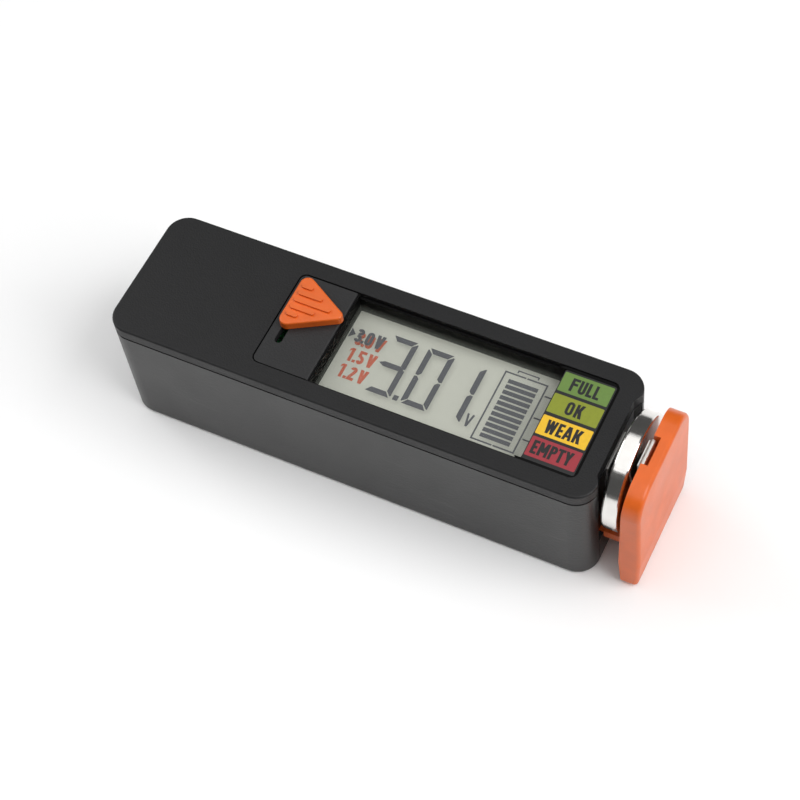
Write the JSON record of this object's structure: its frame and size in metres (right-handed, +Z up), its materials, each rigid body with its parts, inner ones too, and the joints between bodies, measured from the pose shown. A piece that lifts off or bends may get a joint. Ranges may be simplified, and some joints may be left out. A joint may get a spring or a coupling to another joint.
{
  "type": "battery tester",
  "caption": "Slim hand-held battery tester with a digital display, a voltage selector and an orange spring-loaded sliding jaw clamped on a button cell.",
  "frame": {"origin": "middle of the housing's underside", "axes": "+X along the housing towards the jaw, +Z up, +Y across the housing"},
  "size_m": [0.0943, 0.0252, 0.0269],
  "materials": {
    "housing": "fine texture",
    "panel": "fine texture",
    "bezel": "smooth",
    "orange": "satin",
    "label": "printed and laminated",
    "glass": "polished",
    "reflector": "satin grey-green",
    "zebra": "striped",
    "board": "solder mask",
    "chip": "moulded epoxy",
    "capacitor": "satin",
    "ferrite": "matte",
    "contact": "nickel plated",
    "cell_steel": "nickel plated",
    "gasket": "smooth",
    "screw": "zinc plated"
  },
  "bodies": {
    "tester": {"lower_housing": "housing", "top_cover": "housing", "end_plate": "housing", "switch_panel": "panel", "display_bezel": "bezel", "label_sheet": "label", "lcd_front_glass": "glass", "lcd_rear_glass": "glass", "lcd_reflector": "reflector", "zebra_strip": "zebra", "main_board": "board", "controller_chip": "chip", "chip_resistors": "chip", "chip_capacitors": "capacitor", "load_resistor": "capacitor", "boost_inductor": "ferrite", "slide_retainer": "panel", "arm_wiper": "contact", "fixed_contact": "contact", "return_spring": "contact", "housing_screws": "screw", "board_screws": "screw", "retainer_screws": "screw"},
    "jaw": {"jaw_slide": "orange", "jaw_contact": "contact"},
    "selector": {"selector_knob": "orange", "selector_carriage": "panel", "selector_wiper": "contact"},
    "button_cell": {"cell_can": "cell_steel", "cell_gasket": "gasket", "cell_cap": "cell_steel"}
  },
  "joints": [
    {"name": "jaw_slide", "type": "slide", "parent": "tester", "child": "jaw", "axis": [1, 0, 0], "range_m": [0, 0.058], "stiffness_N_per_m": 60, "springref_m": -0.03, "deforming": ["return_spring"]},
    {"name": "selector_slide", "type": "slide", "parent": "tester", "child": "selector", "axis": [0, -1, 0], "range_m": [0, 0.0062]},
    {"name": "cell_lift", "type": "slide", "parent": "tester", "child": "button_cell", "axis": [0, 0, 1], "range_m": [0, 0.025]}
  ]
}
